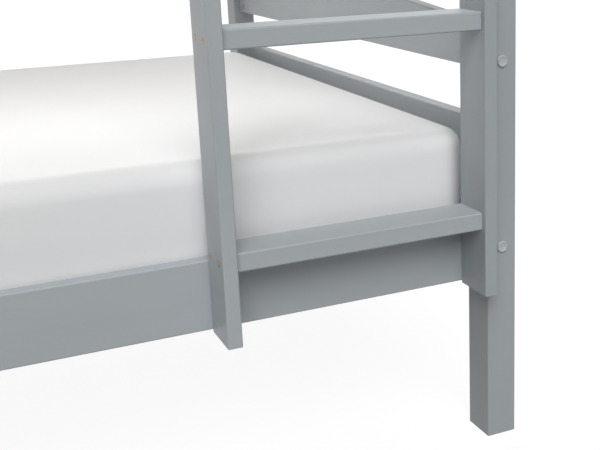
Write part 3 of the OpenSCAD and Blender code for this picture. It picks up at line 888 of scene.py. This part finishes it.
def light_world(scene, stage):
    """A white surround to look at and to be mirrored, and an even grey one that lights the bed."""
    scene.world = bpy.data.worlds.new("studio")
    scene.world.use_nodes = True
    nodes = Nodes(scene.world.node_tree)
    even, white = (
        nodes.node("ShaderNodeBackground", None, {"Color": (1, 1, 1, 1), "Strength": strength})
        for strength in (stage.ambient, 1.0)
    )
    both = nodes.choose(nodes.seen_directly(), even, white)
    nodes.node("ShaderNodeOutputWorld", None, {"Surface": both})


def sun(name, strength, height, turn, softness):
    """A soft distant light from that height, turned that far round from straight in front. At
    strength 1 it lights a face square to it as brightly as an even white surround."""
    light = bpy.data.lights.new(name, "SUN")
    light.energy, light.angle = math.pi * strength, softness
    level = math.cos(height)
    source = Vector((math.sin(turn) * level, -math.cos(turn) * level, math.sin(height)))
    lamp = bpy.data.objects.new(name, light)
    lamp.rotation_euler = (-source).to_track_quat("-Z", "Y").to_euler()
    bpy.context.scene.collection.objects.link(lamp)
    return lamp


def place_camera(scene, stage):
    """The camera looks along +Y, panned right, tilted down and leaned about its own axis."""
    pan, tilt, roll = stage.pan, stage.tilt, stage.roll
    flat = math.cos(tilt)
    ahead = Vector((math.sin(pan) * flat, math.cos(pan) * flat, -math.sin(tilt)))
    level = Vector((math.cos(pan), -math.sin(pan), 0))
    above = level.cross(ahead)
    right = math.cos(roll) * level + math.sin(roll) * above
    up = math.cos(roll) * above - math.sin(roll) * level
    data = bpy.data.cameras.new("camera")
    data.lens, data.clip_end = stage.lens, 200.0
    data.shift_x, data.shift_y = stage.shift
    camera = bpy.data.objects.new("camera", data)
    turn = Matrix((right, up, -ahead)).transposed().to_4x4()
    camera.matrix_world = Matrix.Translation(stage.eye) @ turn
    scene.collection.objects.link(camera)
    scene.camera = camera


# ---------------------------------------------------------------- operators


class BUNK_OT_paint_boards(bpy.types.Operator):
    """Paints every board, post and tread, with the grain along its length"""

    bl_idname = "bunk.paint_boards"
    bl_label = "Paint Boards"

    def execute(self, context):
        paint = context.scene.bunk_paint
        for axis, names in GRAIN_OF.items():
            dress(names, paint_finish(f"paint_{axis.lower()}", axis, paint))
        # Painted shade: the posts and the right upright get a darker copy of the paint for the
        # shade that falls on them.
        dress(SHADED_PAINT_PIECES, paint_finish("paint_shaded_posts", "Z", paint, paint.post_shade_tone))
        return {"FINISHED"}


class BUNK_OT_finish_timber(bpy.types.Operator):
    """Finishes the pine slats and bearers and the beech dowels"""

    bl_idname = "bunk.finish_timber"
    bl_label = "Finish Timber"

    def execute(self, context):
        timber = context.scene.bunk_timber
        bearers = [f"{level}_{face}_bearer" for level in LEVELS for face in FACES]
        dress(bearers, pine_finish("pine_bearers", "X", timber))
        for level in LEVELS:
            name = f"{level}_slats"
            groups = clusters(node_points(name)[:, :1] * (1, 0, 0), SLAT_GAP)
            starts = [group[:, 0].min() for group in groups]
            if len(starts) < 2:
                raise RuntimeError(f"{name} has no separate slats")
            pitch = (starts[-1] - starts[0]) / (len(starts) - 1)
            first = starts[0] - SLAT_GAP / 2
            dress([name], pine_finish(f"pine_{level}_slats", "Y", timber, pitch, first))
        dress(["dowels"], beech_finish(timber))
        return {"FINISHED"}


class BUNK_OT_plate_fittings(bpy.types.Operator):
    """Plates the bolts, nuts and hidden screws"""

    bl_idname = "bunk.plate_fittings"
    bl_label = "Plate Fittings"

    def execute(self, context):
        names = ["rail_bolts", "end_bolts", "guard_bolts", "barrel_nuts"]
        names += ["ladder_screws", "guard_screws", "bearer_screws", "slat_screws"]
        dress(names, zinc_finish(context.scene.bunk_fittings))
        return {"FINISHED"}


class BUNK_OT_press_caps(bpy.types.Operator):
    """Moulds the bolt caps: a raised rim round a shallow dish, on the bolt's own axis"""

    bl_idname = "bunk.press_caps"
    bl_label = "Press Caps"

    def execute(self, context):
        fittings = context.scene.bunk_fittings
        rim, dish, edge = fittings.cap_rim, fittings.cap_dish, fittings.cap_edge
        forms = []
        for group in clusters(node_points("bolt_caps"), CAP_GAP):
            low, high = group.min(0), group.max(0)
            axis = int(np.argmin(high - low))
            way = 1 if (low + high)[axis] > 0 else -1
            tall, radius = (high - low)[axis], (high - low).max() / 2
            centre = (low + high) / 2
            centre[axis] = low[axis] if way > 0 else high[axis]
            inner = radius - rim
            outline = [
                (0, tall - dish),
                (inner * 0.6, tall - dish * 0.96),
                (inner * 0.92, tall - dish * 0.72),
                (inner + rim * 0.12, tall - dish * 0.25),
                (inner + rim * 0.3, tall - dish * 0.03),
                (radius - edge, tall),
                *arc((radius - edge, tall - edge), edge, math.pi / 2, 0, 5),
                (radius, 0.0),
                (0, 0.0),
            ]
            form = turned([(*point, 0) for point in outline], fittings.round_steps)
            forms.append(set_at(form, centre, axis, way))
        piece = join_forms("cap_mouldings", forms, cap_finish(fittings))
        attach(piece, "frame")
        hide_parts("bolt_caps")
        return {"FINISHED"}


class BUNK_OT_drive_screws(bpy.types.Operator):
    """Turns the countersunk screws that hold the treads, each with a cross recess in its head"""

    bl_idname = "bunk.drive_screws"
    bl_label = "Drive Screws"

    def execute(self, context):
        fittings = context.scene.bunk_fittings
        steps, deep = fittings.round_steps, fittings.recess_depth
        arm = fittings.recess_width / 2
        quarter = math.pi / 2
        fold = abs((np.arange(steps) * TAU / steps + quarter / 2) % quarter - quarter / 2)
        cross = np.minimum(1 / np.cos(fold), ARM_SHARE / np.maximum(np.sin(fold), 1e-6))
        points = node_points("tread_screws")
        forms = []
        for upright, way in zip(SIDES, (-1, 1)):
            low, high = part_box(f"ladder_upright_{upright}")
            near = points[abs(points[:, 0] - (low.x + high.x) / 2) < SCREW_REACH]
            out = near[:, 0] * way
            heads = near[out > out.max() - HEAD_FACE]
            for group in clusters(heads * (0, 1, 1), HEAD_GAP):
                centre = (group.min(0) + group.max(0)) / 2
                around = near[np.linalg.norm(near[:, 1:] - centre[1:], axis=1) < HEAD_ROOM]
                centre[0] = (around[:, 0] * way).max() * way
                reach = np.ptp(around[:, 0])
                head = np.ptp(group[:, 1]) / 2
                shank = head * SHANK_SHARE
                profile = [
                    (0, -deep, 0),
                    (arm * 0.55, -deep * 0.9, 1),
                    (arm * 0.92, -0.0003, 1),
                    (arm, -0.0001, 1),
                    (arm * 1.06, 0, 0.9),
                    (head - 0.0004, 0, 0),
                    (head, -0.0003, 0),
                    (shank, -head + shank, 0),
                    (shank, -reach + 0.008, 0),
                    (0, -reach, 0),
                ]
                forms.append(set_at(turned(profile, steps, cross), centre, 0, way))
        piece = join_forms("tread_screw_heads", forms, brass_finish(fittings))
        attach(piece, "frame")
        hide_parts("tread_screws")
        return {"FINISHED"}


class BUNK_OT_make_beds(bpy.types.Operator):
    """Cuts the two foam mattresses and stretches a fitted sheet with an elastic hem over each"""

    bl_idname = "bunk.make_beds"
    bl_label = "Make Beds"

    def execute(self, context):
        bedding = context.scene.bunk_bedding
        ticking, cotton = ticking_finish(bedding), cotton_finish(bedding)
        swell = None
        for level in LEVELS:
            points, faces = foam_form(level, bedding)
            foam = mesh_piece(f"{level}_foam", points, faces, ticking)
            foam.modifiers.new("Seam", "WELD").merge_threshold = 1e-5
            subdivide(foam)
            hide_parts(f"{level}_mattress")
            points, faces, flat, held, cut, area = sheet_form(level, bedding)
            if swell is None:
                swell = swollen(points, faces, held, bedding.swell_cap)
            sheet = mesh_piece(f"{level}_fitted_sheet", points + swell, faces, cotton, flat)
            subdivide(sheet)
            hem = mesh_piece(f"{level}_sheet_hem", *hem_form(level, bedding), cotton)
            for piece in (foam, sheet, hem):
                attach(piece, f"{level}_mattress_body")
        return {"FINISHED"}


class BUNK_OT_set_stage(bpy.types.Operator):
    """Lays the floor, lights the bed evenly and places the camera"""

    bl_idname = "bunk.set_stage"
    bl_label = "Set Stage"

    def execute(self, context):
        scene, stage = context.scene, context.scene.bunk_stage
        corners = stage.floor / 2 * np.array([(-1, -1, 0), (1, -1, 0), (1, 1, 0), (-1, 1, 0)])
        mesh_piece("studio_floor", corners, [[0, 1, 2, 3]], floor_finish(stage))
        light_world(scene, stage)
        sun("front_light", stage.front, stage.front_height, -stage.front_turn, stage.softness)
        behind = math.pi + stage.back_turn
        back = sun("back_light", stage.back, stage.back_height, behind, stage.softness)
        back.visible_glossy = False
        place_camera(scene, stage)
        scene.view_settings.view_transform = "Standard"
        return {"FINISHED"}


class BUNK_PT_dressing(bpy.types.Panel):
    """Lists the steps that dress the bunk bed, with their settings"""

    bl_idname = "BUNK_PT_dressing"
    bl_label = "Bunk Bed Dressing"
    bl_space_type = "VIEW_3D"
    bl_region_type = "UI"
    bl_category = "Bunk Bed"

    def draw(self, context):
        for step, group in STEPS:
            box = self.layout.box()
            box.operator(step.bl_idname)
            settings = getattr(context.scene, group)
            for name in settings.bl_rna.properties.keys():
                if name not in ("rna_type", "name"):
                    box.prop(settings, name)


STEPS = (
    (BUNK_OT_set_stage, "bunk_stage"),
    (BUNK_OT_paint_boards, "bunk_paint"),
    (BUNK_OT_finish_timber, "bunk_timber"),
    (BUNK_OT_plate_fittings, "bunk_fittings"),
    (BUNK_OT_press_caps, "bunk_fittings"),
    (BUNK_OT_drive_screws, "bunk_fittings"),
    (BUNK_OT_make_beds, "bunk_bedding"),
)
GROUPS = {
    "bunk_stage": BunkStage,
    "bunk_paint": BunkPaint,
    "bunk_timber": BunkTimber,
    "bunk_fittings": BunkFittings,
    "bunk_bedding": BunkBedding,
}


def register():
    for name, group in GROUPS.items():
        bpy.utils.register_class(group)
        setattr(bpy.types.Scene, name, PointerProperty(type=group))
    for step, _ in STEPS:
        bpy.utils.register_class(step)
    bpy.utils.register_class(BUNK_PT_dressing)


def unregister():
    bpy.utils.unregister_class(BUNK_PT_dressing)
    for step, _ in reversed(STEPS):
        bpy.utils.unregister_class(step)
    for name, group in reversed(GROUPS.items()):
        delattr(bpy.types.Scene, name)
        bpy.utils.unregister_class(group)


def main():
    register()
    for step, _ in STEPS:
        getattr(bpy.ops.bunk, step.bl_idname.split(".")[1])()


if __name__ == "__main__":
    main()
